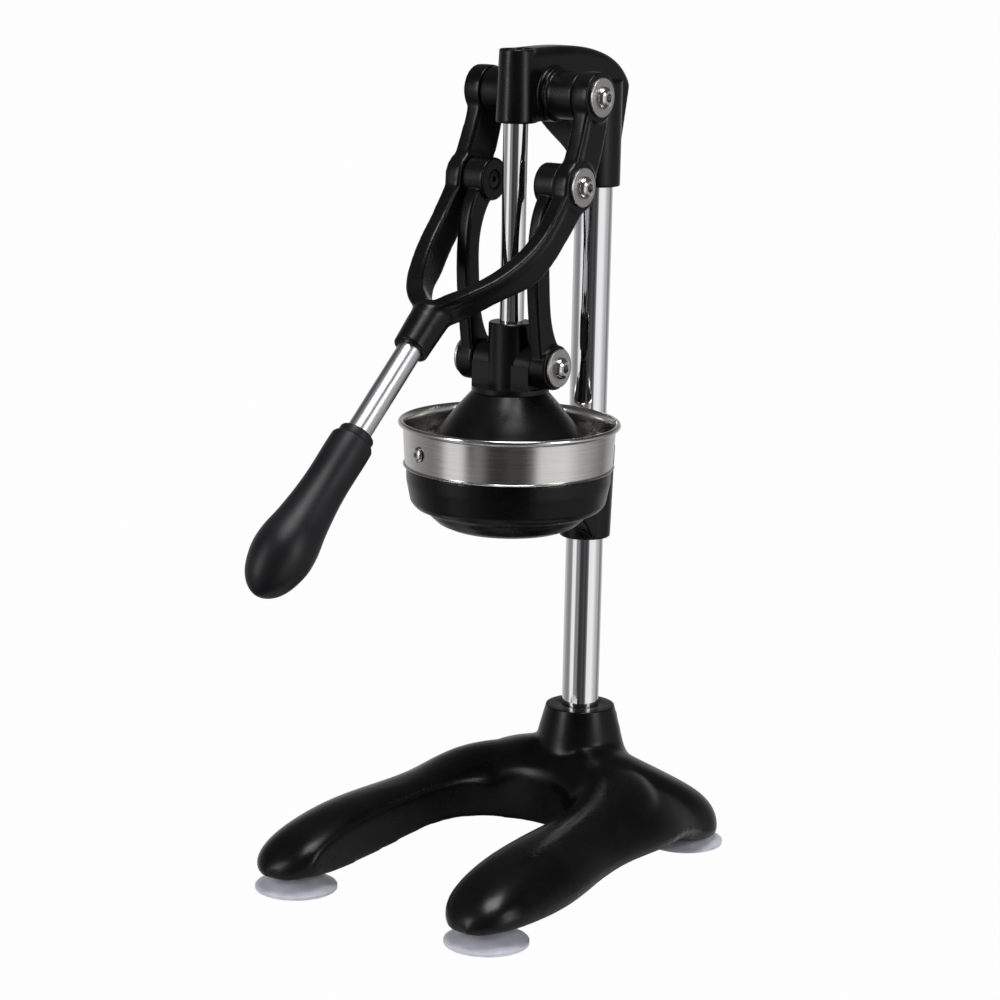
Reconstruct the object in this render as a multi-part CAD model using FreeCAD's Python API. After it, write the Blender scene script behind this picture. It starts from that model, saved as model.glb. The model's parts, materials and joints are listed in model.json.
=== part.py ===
import FreeCAD, Part
import math
import os

App = FreeCAD
os.makedirs("parts", exist_ok=True)

# Lever citrus juice press. Millimetres, +Z up, +Y towards the back, +X towards the right hand side
# seen from the front. While it is drawn, x = y = 0 is the axis of the press rod and z = 0 is the table.
# The last step moves everything so that the origin is the middle of the overall outline on the table.

# Driving sizes: stand.
bowl_seat_z = 207.0          # table to the bowl's seat in its holder
press_rise = 51.5            # from there up to the press pivot, lever down
link_rise = 87.7             # press pivot to link pivot
crank_rise = 41.8            # link pivot to top pivot
crown_rise = 22.0            # top pivot to the top of the guide barrel
low_pivot = (1.2, bowl_seat_z + press_rise)      # y, z
link_pivot = (4.4, low_pivot[1] + link_rise)
top_pivot = (18.2, link_pivot[1] + crank_rise)
overall_height = top_pivot[1] + crown_rise
post_dia = 19.0
post_wall = 2.0
post_y = 67.5                # post axis behind the rod axis
post_seat_z = 22.0           # bottom of the post inside the base
post_top_z = top_pivot[1]
post_fit = 0.04              # radial clearance of the post in each casting

foot_front_x = 58.7
foot_front_y = -90.1
foot_rear_x = 51.0
foot_rear_y = 91.5
foot_cup_r = 20.3
foot_cup_h = 10.0            # table to the seat in the base
foot_neck_r = 8.5
foot_screw_r = 2.5
foot_screw_head_r = 4.5
foot_screw_head_h = 2.8
foot_screw_length = 15.2     # under the head

leg_low_z = 9.0              # underside of the legs
base_collar_r = 17.8
base_collar_z = 70.0
base_bolt_z = 57.5
base_bolt_r = 4.0

# Driving sizes: head.
barrel_top_r = 8.7
barrel_bottom_r = 9.9
barrel_length = 35.3
web_half = 9.0               # half thickness of the head's web
sleeve_r = 13.0              # round sleeves that hold the post
head_sleeve_bottom_z = overall_height - 70.3
boss_r = 11.6
boss_flange_r = 13.2
boss_flange_t = 3.5
boss_end_x = 27.1            # where the pivot boss ends, beside the lever's ear
bush_r = 7.1
bush_length = 33.0

# Driving sizes: ram.
rod_dia = 12.0
rod_running_fit = 0.05
rod_top_drop = 4.0           # rod end below the barrel's top with the lever down
rod_seat_z = low_pivot[1] - 0.5
neck_r = 11.2
neck_top_z = low_pivot[1] + 20.0
cap_flange_r = 19.0
cap_flange_z = low_pivot[1] - 11.5
cap_flange_t = 2.4
cap_rim_r = 39.0
cap_rim_z = low_pivot[1] - 44.5
cap_skirt_h = 7.0
cap_wall = 3.4
lug_x = 17.0                 # outer face of the press lugs
lug_half = 9.0
lug_top_r = 9.5

# Driving sizes: pivots and lever.
pivot_bolt_r = 4.0
pivot_fit = 0.04
washer_r = 9.4
washer_t = 1.5
bolt_head_r = 5.4
bolt_head_h = 3.4
hex_across = 4.0
side_gap = 0.4               # between parts that turn side by side

ear_r = 12.2
ear_t = 9.0
arm_t = 7.5
rib_out = 1.2
apex_thinning = 2.2          # the fork is thinner in its bend
bend_half = 2.8              # the bend's inside is round: it rises by bend_rise this far out
bend_rise = 0.6
yoke_boss_r = 12.6
link_top_r = 10.5
link_low_r = 11.0
link_top_t = 12.0
link_low_t = 9.5
link_bar_t = 7.5
link_bore_r = 4.6

lever_slope = 42.0           # degrees below level, lever down
socket_end = (link_pivot[0] - 84.0, link_pivot[1] - 72.2)  # middle of the socket's end face
socket_r = 8.7
socket_root_r = 9.6
socket_length = 22.0
tube_dia = 12.0
tube_wall = 1.5
tube_fit = 0.05
tube_in_socket = 24.0
tube_in_grip = 60.0
grip_gap = 51.5              # socket end to the ring on the grip
grip_ring_r = 8.6
grip_ring_t = 4.4
grip_length = 89.0

# Driving sizes: bowl.
bowl_rim_r = 54.7
bowl_top_z = bowl_seat_z + 22.6
bowl_band_r = 52.3
bowl_foot_r = 51.2           # outside of the band at its lower end
sheet = 1.0
holder_r = 50.5
holder_low_r = 48.2
holder_wall = 3.2
holder_floor_z = bowl_seat_z - 31.8
spout_r = 11.6
holder_hole_r = 12.5
holder_sleeve_top_z = bowl_seat_z + 1.0
holder_sleeve_low_z = bowl_seat_z - 47.0
bowl_stud_angle = -111.0     # degrees from +X
bowl_stud_z = bowl_seat_z + 10.0
bowl_stud_r = 3.8
strainer_rim_r = bowl_foot_r - sheet - 0.8
dome_r = 30.0
dome_top_z = bowl_seat_z + 28.0
strainer_floor_z = bowl_seat_z - 9.5
ram_screw_drop = 8.0         # lock screw below the top of the press neck

Z = App.Vector(0, 0, 1)
X = App.Vector(1, 0, 0)
Y = App.Vector(0, 1, 0)


# Helpers.
def v(x, y, z):
    return App.Vector(x, y, z)


def rod(r, start, direction, length):
    return Part.makeCylinder(r, length, start, direction)


def box_between(low, high):
    size = high.sub(low)
    return Part.makeBox(size.x, size.y, size.z, low)


def fuse_all(shapes):
    result = shapes[0].multiFuse(shapes[1:]) if len(shapes) > 1 else shapes[0]
    return result.removeSplitter()


def turned(points, centre=(0.0, 0.0)):
    """A solid of revolution about a vertical line, from (radius, z) corners."""
    corners = [v(r, 0, z) for r, z in points]
    wire = Part.makePolygon(corners + [corners[0]])
    solid = Part.Face(wire).revolve(v(0, 0, 0), Z, 360)
    solid.translate(v(centre[0], centre[1], 0))
    return solid


def spline(points):
    curve = Part.BSplineCurve()
    curve.interpolate(points)
    return curve.toShape()


def side_plate(outline, x_low, x_high):
    """A plate square to X from a closed outline of edges in the plane x = 0."""
    face = Part.Face(Part.Wire(outline))
    face.translate(v(x_low, 0, 0))
    return face.extrude(v(x_high - x_low, 0, 0))


def softened(shape, edges, radius):
    """Round the given edges, or leave them square when the radius does not fit."""
    if not edges:
        return shape
    try:
        rounded = shape.makeFillet(radius, edges)
    except Part.OCCError:
        return shape
    return rounded if rounded.isValid() and rounded.Volume > 0 else shape


def edges_at(shape, test):
    return [e for e in shape.Edges if test(e)]


def mirrored(shape):
    return shape.mirror(v(0, 0, 0), X)


def both_sides(shape):
    return Part.makeCompound([shape, mirrored(shape)])


def hex_socket(across, depth, face_point, inward):
    r = across / math.sqrt(3)
    ring = [v(r * math.cos(math.radians(60 * i)), r * math.sin(math.radians(60 * i)), 0) for i in range(7)]
    prism = Part.Face(Part.makePolygon(ring)).extrude(v(0, 0, depth))
    prism.Placement = App.Placement(face_point, App.Rotation(Z, inward))
    return prism


def button_bolt(shank_r, shank_length, seat, outward, head_r=None, head_h=None, across=None):
    """A round headed bolt with a hexagon socket; seat is the middle of the head's underside."""
    head_r = head_r or bolt_head_r
    head_h = head_h or bolt_head_h
    across = across or hex_across
    profile = [(0, 0), (head_r, 0), (head_r, 0.3 * head_h), (0.86 * head_r, 0.72 * head_h),
               (0.62 * head_r, head_h), (0, head_h)]
    head = turned(profile)
    shank = Part.makeCylinder(shank_r, shank_length, v(0, 0, -shank_length))
    bolt = head.fuse(shank).removeSplitter()
    bolt.Placement = App.Placement(seat, App.Rotation(Z, outward))
    top = seat.add(App.Vector(outward).multiply(head_h))
    return bolt.cut(hex_socket(across, 0.6 * head_h, top, App.Vector(outward).negative()))


def grub_screw(r, length, tip, outward):
    """A headless screw with a hexagon socket; tip is where it presses."""
    screw = rod(r, tip, outward, length)
    top = tip.add(App.Vector(outward).multiply(length))
    return screw.cut(hex_socket(r, 0.4 * length, top, App.Vector(outward).negative()))


def washer(seat, outward):
    return rod(washer_r, seat, outward, washer_t).cut(rod(pivot_bolt_r + 0.1, seat, outward, washer_t))


slope = math.radians(lever_slope)
lever_frame = App.Placement(v(0, socket_end[0], socket_end[1]), App.Rotation(X, lever_slope))


def along_lever(y, z):
    """Distance back along the lever from the socket's end, and height over the lever's axis."""
    dy = y - socket_end[0]
    dz = z - socket_end[1]
    return dy * math.cos(slope) + dz * math.sin(slope), dz * math.cos(slope) - dy * math.sin(slope)


def on_lever(shape):
    shape.Placement = lever_frame.multiply(shape.Placement)
    return shape


post_r = post_dia / 2
rod_r = rod_dia / 2
tube_r = tube_dia / 2
arm_in_x = boss_end_x + side_gap
arm_out_x = arm_in_x + ear_t

# Base.
rear_skirt_z = 3.2           # the rear feet of the casting reach down over their cups
# (x, y) of the middle of each leg section from the front tip to the back, half width, top height,
# how far the top leans towards the middle of the horseshoe, and the height of the underside
leg_sections = [
    (57.0, -109.6, 5.5, 14.6, 0.0, leg_low_z),
    (57.5, -106.0, 12.0, 19.6, 1.0, leg_low_z),
    (58.2, -96.0, 18.6, 26.6, 3.0, leg_low_z),
    (59.4, -80.0, 21.2, 32.4, 5.0, leg_low_z),
    (59.8, -56.0, 21.8, 36.5, 6.0, leg_low_z + 0.5),
    (57.8, -24.0, 20.2, 38.0, 6.0, leg_low_z + 3.5),
    (54.0, 8.0, 20.0, 39.5, 4.0, leg_low_z + 4.5),
    (46.0, 36.0, 24.0, 44.6, 1.0, leg_low_z + 3.5),
    (27.0, 52.0, 27.0, 47.6, 0.0, leg_low_z + 2.5),
]
back_section = (0.0, 58.0, 30.0, 48.6, 0.0, leg_low_z + 2.5)
# the same for the apron that joins the outside of a leg to its rear foot
apron_sections = [
    (60.0, -44.0, 15.0, 28.0, 2.0, leg_low_z + 3.5),
    (57.0, -10.0, 19.5, 36.0, 5.0, leg_low_z + 4.5),
    (52.0, 20.0, 24.5, 38.5, 6.0, leg_low_z + 4.8),
    (46.0, 44.0, 30.0, 41.0, 9.0, leg_low_z + 3.5),
    (43.0, 62.0, 29.5, 42.0, 12.0, leg_low_z + 1.5),
    (44.5, 78.0, 25.5, 36.5, 7.0, leg_low_z - 2.0),
    (48.5, 91.0, 20.0, 28.5, 2.0, rear_skirt_z + 0.4),
    (51.5, 99.0, 14.0, 21.0, 0.0, rear_skirt_z),
    (53.0, 104.5, 7.0, 13.5, 0.0, rear_skirt_z),
]
# the same for the rear leg's ridge, from the boss out to the rear foot
rear_sections = [
    (10.0, 52.0, 26.0, 51.0, 0.0, leg_low_z + 3.0),
    (28.0, 63.0, 28.0, 49.6, 0.0, leg_low_z + 2.5),
    (41.8, 77.0, 28.0, 41.2, 0.0, leg_low_z - 2.0),
    (49.0, 91.0, 23.0, 32.4, 0.0, rear_skirt_z + 0.4),
    (53.6, 102.0, 15.5, 23.2, 0.0, rear_skirt_z),
    (55.6, 107.6, 7.5, 14.2, 0.0, rear_skirt_z),
]
# the inner wall of the horseshoe in plan, from the front to the middle of its back
inner_wall = [(38.6, -24.0), (36.9, 0.0), (30.2, 19.0), (16.5, 31.0), (0.0, 34.6)]


def loaf_section(middle, across, half, top, lean, low):
    """A closed curve with a round top and a flatter underside, standing square to a leg."""
    waist = low + 0.3 * (top - low)
    # the inner lower edge stands out past the horseshoe's wall, except at the rounded tips
    heel = 0.3 * min(1.0, max(0.0, (half - 18.4) / 2.5))
    points = []
    for i in range(20):
        a = math.radians(18 * i)
        c, s = math.cos(a), math.sin(a)
        wide = math.copysign(abs(c) ** 0.85, c) * half
        if s >= 0:
            high = waist + (top - waist) * abs(s) ** 0.9
        else:
            high = waist - (waist - low) * abs(s) ** 0.45
        if c < 0 and s < 0:
            wide *= 1 + heel * min(1.0, -2 * s)
        wide -= lean * max(0.0, s)
        points.append(v(middle[0] + across[0] * wide, middle[1] + across[1] * wide, high))
    curve = Part.BSplineCurve()
    curve.interpolate(points, PeriodicFlag=True)
    return Part.Wire(curve.toShape())


def loaf(sections, across=None):
    wires = []
    for i, (x, y, half, top, lean, low) in enumerate(sections):
        before = sections[max(i - 1, 0)]
        after = sections[min(i + 1, len(sections) - 1)]
        dx, dy = after[0] - before[0], after[1] - before[1]
        size = math.hypot(dx, dy)
        wires.append(loaf_section((x, y), across or (dy / size, -dx / size), half, top, lean, low))
    return Part.makeLoft(wires, True, False)


left_leg = [(-x, y, half, top, lean, low) for x, y, half, top, lean, low in leg_sections]
legs = loaf(leg_sections + [back_section] + left_leg[::-1])
apron = loaf(apron_sections, (1.0, 0.0))
rear_leg = loaf(rear_sections)
boss_foot_r = 24.0
boss_foot_z = 46.3
flare_end_r = boss_foot_r + 9.6
flare_end_z = boss_foot_z - 8.8
flare = Part.BSplineCurve()
flare.interpolate([v(boss_foot_r, 0, boss_foot_z), v(boss_foot_r + 1.5, 0, boss_foot_z - 3.8),
                   v(boss_foot_r + 4.6, 0, boss_foot_z - 6.8), v(flare_end_r, 0, flare_end_z)])
boss_low_z = leg_low_z + 3.0
boss_ends = [v(flare_end_r, 0, flare_end_z), v(flare_end_r, 0, boss_low_z),
             v(0, 0, boss_low_z), v(0, 0, base_collar_z), v(base_collar_r - 0.6, 0, base_collar_z),
             v(base_collar_r, 0, base_collar_z - 0.6), v(boss_foot_r, 0, boss_foot_z)]
boss_wire = Part.Wire([flare.toShape()] + Part.makePolygon(boss_ends).Edges)
boss_cone = Part.Face(boss_wire).revolve(v(0, 0, 0), Z, 360)
boss_cone.translate(v(0, post_y, 0))
base = legs.fuse([apron, mirrored(apron), rear_leg, mirrored(rear_leg), boss_cone])

front_clear = foot_front_y - 60
wall_points = [v(x, y, -5) for x, y in inner_wall]
wall_points += [v(-x, y, -5) for x, y in inner_wall[-2::-1]]
wall_curve = Part.BSplineCurve()
wall_curve.interpolate(wall_points)
wall_end = wall_points[0]
mouth = Part.makePolygon([v(-wall_end.x, wall_end.y, -5), v(-40.5, foot_front_y, -5),
                          v(-40.5, front_clear, -5), v(40.5, front_clear, -5),
                          v(40.5, foot_front_y, -5), wall_end])
horseshoe = Part.Face(Part.Wire([wall_curve.toShape()] + mouth.Edges)).extrude(v(0, 0, base_collar_z))
base = base.cut(horseshoe)

feet = {
    "front_right": (foot_front_x, foot_front_y),
    "front_left": (-foot_front_x, foot_front_y),
    "rear_right": (foot_rear_x, foot_rear_y),
    "rear_left": (-foot_rear_x, foot_rear_y),
}
base_cuts = [rod(post_r + post_fit, v(0, post_y, post_seat_z), Z, overall_height)]
cup_room = [(0, -5), (foot_cup_r + 4.0, -5), (foot_cup_r + 4.0, 1.0), (foot_cup_r, 1.9), (16.6, 4.0),
            (12.0, foot_cup_h - 3.4), (foot_neck_r + 1.0, foot_cup_h - 2.4), (foot_neck_r + 1.0, foot_cup_h),
            (0, foot_cup_h)]
for x, y in feet.values():
    base_cuts.append(turned(cup_room, (x, y)))
    base_cuts.append(rod(foot_screw_r + 0.02, v(x, y, 0), Z, foot_cup_h + foot_screw_length))
bolt_seat_y = post_y + base_collar_r + 5.5
base_cuts.append(rod(base_bolt_r + 0.02, v(0, post_y + post_r, base_bolt_z), Y, 40))
base_cuts.append(rod(8.2, v(0, bolt_seat_y, base_bolt_z), Y, 40))
base = base.cut(base_cuts)

cup_profile = [
    (foot_screw_r + 0.1, foot_cup_h), (foot_neck_r, foot_cup_h), (foot_neck_r, foot_cup_h - 2.6),
    (11.6, foot_cup_h - 4.0), (16.6, 3.4), (foot_cup_r, 1.3), (foot_cup_r, 0), (foot_cup_r - 2.6, 0),
    (14.0, 2.0), (9.0, 4.0), (foot_screw_head_r + 0.7, 4.2),
    (foot_screw_head_r + 0.7, foot_cup_h - 3.2), (foot_screw_r + 0.1, foot_cup_h - 3.2),
]
suction_feet = {name: turned(cup_profile, place) for name, place in feet.items()}
foot_screws = Part.makeCompound([
    button_bolt(foot_screw_r, foot_screw_length, v(x, y, foot_cup_h - 3.2), Z.negative(),
                foot_screw_head_r, foot_screw_head_h, 3.0)
    for x, y in feet.values()])

post = rod(post_r, v(0, post_y, post_seat_z), Z, post_top_z - post_seat_z)
post = post.cut(rod(post_r - post_wall, v(0, post_y, post_seat_z), Z, post_top_z - post_seat_z))
base_clamp_bolt = button_bolt(base_bolt_r, bolt_seat_y - post_y - post_r, v(0, bolt_seat_y, base_bolt_z),
                              Y, 6.5, 5.0, 5.0)

# Head.
barrel_low_z = overall_height - barrel_length
top_y, top_z = top_pivot
web_top = spline([v(0, 0, overall_height), v(0, 24, overall_height + 0.6), v(0, 46, overall_height - 0.4),
                  v(0, 63, overall_height - 3.6), v(0, 76, overall_height - 9.0),
                  v(0, post_y + 17.2, overall_height - 17.0)])
web_low_z = barrel_low_z + 0.6
web_back = Part.makePolygon([v(0, post_y + 17.2, overall_height - 17.0),
                             v(0, post_y + 11.5, overall_height - 44.0),
                             v(0, post_y + 6.0, head_sleeve_bottom_z + 5),
                             v(0, post_y - 6.0, head_sleeve_bottom_z + 5)])
web_under = spline([v(0, post_y - 6.0, head_sleeve_bottom_z + 5),
                    v(0, post_y - 13.5, overall_height - 52.5),
                    v(0, post_y - 21.5, overall_height - 46.8), v(0, post_y - 29.5, overall_height - 41.4),
                    v(0, post_y - 37.5, web_low_z)])
web_front = Part.makePolygon([v(0, post_y - 37.5, web_low_z), v(0, 0, web_low_z), v(0, 0, overall_height)])
web = side_plate([web_top] + web_back.Edges + [web_under] + web_front.Edges, -web_half, web_half)
long_top = edges_at(web, lambda e: abs(abs(e.CenterOfMass.x) - web_half) < 0.01
                    and e.BoundBox.YLength > 60 and e.BoundBox.ZMin > overall_height - 25)
web = softened(web, long_top, 5.0)
barrel = Part.makeCone(barrel_bottom_r, barrel_top_r, barrel_length, v(0, 0, barrel_low_z))
head_sleeve = rod(sleeve_r, v(0, post_y, head_sleeve_bottom_z), Z, post_top_z + 4 - head_sleeve_bottom_z)
pivot_boss = rod(boss_r, v(-boss_end_x, top_y, top_z), X, 2 * boss_end_x)
flange_half = web_half + boss_flange_t
pivot_flange = rod(boss_flange_r, v(-flange_half, top_y, top_z), X, 2 * flange_half)
head = fuse_all([web, barrel, head_sleeve, pivot_boss, pivot_flange])
bolt_hole_depth = 14.0
head_cuts = [
    rod(post_r + post_fit, v(0, post_y, head_sleeve_bottom_z - 5), Z,
        post_top_z - head_sleeve_bottom_z + 5),
    rod(bush_r, v(0, 0, barrel_low_z), Z, bush_length),
    rod(rod_r + 0.5, v(0, 0, barrel_low_z), Z, 2 * barrel_length),
    rod(2.52, v(0, post_y + post_r, head_sleeve_bottom_z + 10), Y, 20),
]
for side in (-1, 1):
    head_cuts.append(rod(pivot_bolt_r + 0.02, v(side * (boss_end_x - bolt_hole_depth), top_y, top_z),
                         App.Vector(side, 0, 0), 40))
head = head.cut(head_cuts)
head_lock_screw = grub_screw(2.5, sleeve_r - post_r - 0.6,
                             v(0, post_y + post_r, head_sleeve_bottom_z + 10), Y)
guide_bush = rod(bush_r, v(0, 0, barrel_low_z), Z, bush_length)
guide_bush = guide_bush.cut(rod(rod_r + rod_running_fit, v(0, 0, barrel_low_z), Z, bush_length))

pivot_bolts = both_sides(button_bolt(pivot_bolt_r, washer_t + ear_t + side_gap + bolt_hole_depth - 1,
                                     v(arm_out_x + washer_t, top_y, top_z), X))
pivot_washers = both_sides(washer(v(arm_out_x, top_y, top_z), X))

# Ram: rod, press cup.
low_y, low_z = low_pivot
rod_top_z = overall_height - rod_top_drop
ram_rod = rod(rod_r, v(0, 0, rod_seat_z), Z, rod_top_z - rod_seat_z)
ram_rod = softened(ram_rod, edges_at(ram_rod, lambda e: abs(e.BoundBox.ZMin - rod_top_z) < 0.01), 1.0)

cone_top_z = cap_flange_z - cap_flange_t
cone_height = cone_top_z - cap_rim_z
cone_spread = cap_rim_r - cap_flange_r


def on_cone(share_out, share_up):
    return (cap_flange_r + share_out * cone_spread, cap_rim_z + share_up * cone_height)


cap = turned([
    (0, neck_top_z), (neck_r - 0.6, neck_top_z), (neck_r, neck_top_z - 0.6), (neck_r, cap_flange_z),
    (cap_flange_r, cap_flange_z), (cap_flange_r, cone_top_z), (cap_flange_r - 0.6, cone_top_z),
    on_cone(0.29, 0.765), on_cone(0.59, 0.523), on_cone(0.81, 0.320),
    (cap_rim_r - 0.7, cap_rim_z + cap_skirt_h - 1.4),
    (cap_rim_r, cap_rim_z + cap_skirt_h - 4), (cap_rim_r, cap_rim_z), (cap_rim_r - cap_wall, cap_rim_z),
    (cap_rim_r - cap_wall - 0.5, cap_rim_z + 3.2), on_cone(0.67, 0.281), on_cone(0.43, 0.503),
    on_cone(0.12, 0.739), on_cone(-0.25, 0.876), (0, cap_rim_z + 0.922 * cone_height),
])
lug = box_between(v(0, -lug_half, cap_flange_z - 1), v(lug_x, lug_half, low_z))
lug = lug.fuse(rod(lug_top_r, v(0, low_y, low_z), X, lug_x))
lug = lug.common(box_between(v(0, -lug_half, cap_flange_z - 1), v(lug_x, lug_half, low_z + lug_top_r)))
press_cup = fuse_all([cap, lug, mirrored(lug)])
low_hole_depth = 12.0
ram_screw_z = neck_top_z - ram_screw_drop
cup_cuts = [rod(rod_r + 0.02, v(0, 0, rod_seat_z), Z, 40),
            rod(2.52, v(0, rod_r, ram_screw_z), Y, neck_r)]
for side in (-1, 1):
    cup_cuts.append(rod(pivot_bolt_r + 0.02, v(side * (lug_x - low_hole_depth), low_y, low_z),
                        App.Vector(side, 0, 0), 40))
press_cup = press_cup.cut(cup_cuts)
ram_lock_screw = grub_screw(2.5, neck_r - rod_r - 0.4, v(0, rod_r, ram_screw_z), Y)
link_low_in = lug_x + side_gap
link_low_out = link_low_in + link_low_t
press_bolt_length = washer_t + side_gap + link_low_t + side_gap + low_hole_depth - 1
press_bolts = both_sides(button_bolt(pivot_bolt_r, press_bolt_length,
                                     v(link_low_out + side_gap + washer_t, low_y, low_z), X))
press_washers = both_sides(washer(v(link_low_out + side_gap, low_y, low_z), X))

# Links.
link_y, link_z = link_pivot
link_top_out = arm_in_x - side_gap
link_top_in = link_top_out - link_top_t


def along_link(offset, share):
    return (low_y + offset, low_z + share * link_rise)


bar_front = [(link_y - 8.5, link_z - 3), (link_y - 15.0, link_z - 14), along_link(-14.4, 0.678),
             along_link(-14.6, 0.473), along_link(-12.4, 0.245), (low_y - 9.6, low_z + 3)]
bar_back = [(low_y + 8.0, low_z + 6), along_link(-0.8, 0.234), along_link(-3.8, 0.473),
            along_link(-3.8, 0.678), (link_y - 1.5, link_z - 14), (link_y + 9.0, link_z - 4)]
front_edge = spline([v(0, y, z) for y, z in bar_front])
back_edge = spline([v(0, y, z) for y, z in bar_back])
low_join = Part.makeLine(v(0, *bar_front[-1]), v(0, *bar_back[0]))
top_join = Part.makeLine(v(0, *bar_back[-1]), v(0, *bar_front[0]))
bar_in = link_low_in
link = side_plate([front_edge, low_join, back_edge, top_join], bar_in, bar_in + link_bar_t)
link = softened(link, edges_at(link, lambda e: e.BoundBox.ZLength > 40), 1.6)
link = fuse_all([link, rod(link_top_r, v(link_top_in, link_y, link_z), X, link_top_t),
                 rod(link_low_r, v(link_low_in, low_y, low_z), X, link_low_t)])
link_reach = link_top_out + 5
link_right = link.cut([rod(link_bore_r, v(0, link_y, link_z), X, link_reach),
                       rod(pivot_bolt_r + pivot_fit, v(0, low_y, low_z), X, link_reach)])
link_left = mirrored(link_right)

# Lever: yoke, tube, grip.
top_t, top_n = along_lever(*top_pivot)
link_t, link_n = along_lever(*link_pivot)
# the blade's upper and lower edges seen from the side, as (y, z) from the link pivot
upper_from_link = [(0.2, 23.8), (-4.6, 12.8), (-9.8, 1.8), (-16.8, -8.6), (-26.0, -19.4), (-39.0, -30.6),
                   (-53.4, -40.2), (-65.4, -46.6), (-75.4, -54.2)]
lower_from_link = [(-66.4, -65.6), (-54.4, -56.6), (-45.4, -51.2), (-31.4, -45.8), (-17.4, -34.6),
                   (-4.2, -21.0), (6.2, -9.6), (11.6, -2.2), (18.2, 11.4)]
blade_upper = [(top_y - 9.5, top_z - 4.0)] + [(link_y + y, link_z + z) for y, z in upper_from_link]
blade_lower = [(link_y + y, link_z + z) for y, z in lower_from_link] + [(top_y + 11.4, top_z - 8.0)]
# the fork seen square to the blades: outer half width against distance
fork_outer = [(175.0, arm_out_x - rib_out), (120.0, arm_out_x - rib_out), (84.0, arm_out_x - rib_out - 0.2),
              (68.0, 33.6), (56.0, 30.4), (46.0, 26.4), (37.0, 21.4), (29.0, 15.6), (22.6, 8.8),
              (20.4, 0.0)]


def closed_face(first, second):
    """Face between two smooth curves whose ends are joined by straight lines."""
    edges = [spline(first), Part.makeLine(first[-1], second[0]), spline(second),
             Part.makeLine(second[-1], first[0])]
    return Part.Face(Part.Wire(edges))


def fork_band(outer_shift, inner_shift):
    """The U of the fork, thick along X, before the blade outline trims it."""
    outer = [v(x + (outer_shift if x > 0 else 0), t, -60) for t, x in fork_outer]
    outer[-1] = v(0, fork_outer[-1][0] - outer_shift, -60)
    inner = []
    for i, (t, x) in enumerate(fork_outer):
        before = fork_outer[max(i - 1, 0)]
        after = fork_outer[min(i + 1, len(fork_outer) - 1)]
        dt, dx = after[0] - before[0], after[1] - before[1]
        size = math.hypot(dt, dx)
        if i == len(fork_outer) - 1:
            inner.append(v(bend_half, t + inner_shift - apex_thinning + bend_rise, -60))
            inner.append(v(0, t + inner_shift - apex_thinning, -60))
        else:
            inner.append(v(x + inner_shift * dt / size, t - inner_shift * dx / size, -60))
    inner = [p if p.x > 0 else v(0, p.y, p.z) for p in inner]
    face = closed_face(outer, inner[::-1])
    half = face.extrude(v(0, 0, 120))
    return fuse_all([half, mirrored(half)])


def blade_plate(upper, lower):
    face = closed_face([v(-60, y, z) for y, z in upper], [v(-60, y, z) for y, z in lower])
    plate = face.extrude(v(120, 0, 0))
    plate.Placement = lever_frame.inverse().multiply(plate.Placement)
    return plate


blade = fork_band(0.0, arm_t).common(blade_plate(blade_upper, blade_lower))
rib_lower = [(y + 3.4, z - 3.2) for y, z in blade_upper]
rib = fork_band(rib_out, arm_t).common(blade_plate(blade_upper, rib_lower[::-1]))
socket = Part.makeCone(socket_r, socket_root_r, socket_length, v(0, 0, 0), Y)
yoke_parts = [blade, rib, socket]
for side in (-1, 1):
    start = side * arm_in_x
    yoke_parts.append(rod(ear_r, v(start, top_t, top_n), App.Vector(side, 0, 0), ear_t))
    yoke_parts.append(rod(yoke_boss_r, v(start, link_t, link_n), App.Vector(side, 0, 0), ear_t))
yoke = fuse_all(yoke_parts)
lock_t = 11.0
# flat inner faces beside the head's boss and along the way of the links' upper ears
inner_face_start = link_t - link_top_r - 16
inner_faces = box_between(v(-arm_in_x, inner_face_start, -60), v(arm_in_x, top_t + 2 * ear_r, 60))
yoke_cuts = [inner_faces, rod(tube_r + tube_fit, v(0, -5, 0), Y, tube_in_socket + 5),
             rod(2.02, v(0, lock_t, 0), Z.negative(), 30)]
for side in (-1, 1):
    yoke_cuts.append(rod(pivot_bolt_r + pivot_fit, v(0, top_t, top_n), App.Vector(side, 0, 0), 60))
    yoke_cuts.append(rod(pivot_bolt_r + 0.02, v(0, link_t, link_n), App.Vector(side, 0, 0), 60))
    for t, n in ((top_t, top_n), (link_t, link_n)):
        yoke_cuts.append(rod(washer_r + 0.8, v(side * arm_out_x, t, n), App.Vector(side, 0, 0), 5))
yoke = on_lever(yoke.cut(yoke_cuts))

link_bolts = both_sides(button_bolt(pivot_bolt_r, washer_t + ear_t,
                                    v(arm_out_x + washer_t, link_y, link_z), X))
link_washers = both_sides(washer(v(arm_out_x, link_y, link_z), X))

tube_length = tube_in_socket + grip_gap + grip_ring_t + tube_in_grip
lever_tube = rod(tube_r, v(0, tube_in_socket - tube_length, 0), Y, tube_length)
tube_bore = rod(tube_r - tube_wall, v(0, tube_in_socket - tube_length, 0), Y, tube_length)
lever_tube = on_lever(lever_tube.cut(tube_bore))
tube_lock_screw = on_lever(grub_screw(2.0, socket_r - tube_r - 0.3, v(0, lock_t, -tube_r), Z.negative()))

ring_start = -grip_gap
grip_ring = rod(grip_ring_r, v(0, ring_start, 0), Y.negative(), grip_ring_t)
grip_ring = on_lever(grip_ring.cut(rod(tube_r + tube_fit, v(0, ring_start, 0), Y.negative(), grip_ring_t)))

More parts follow.
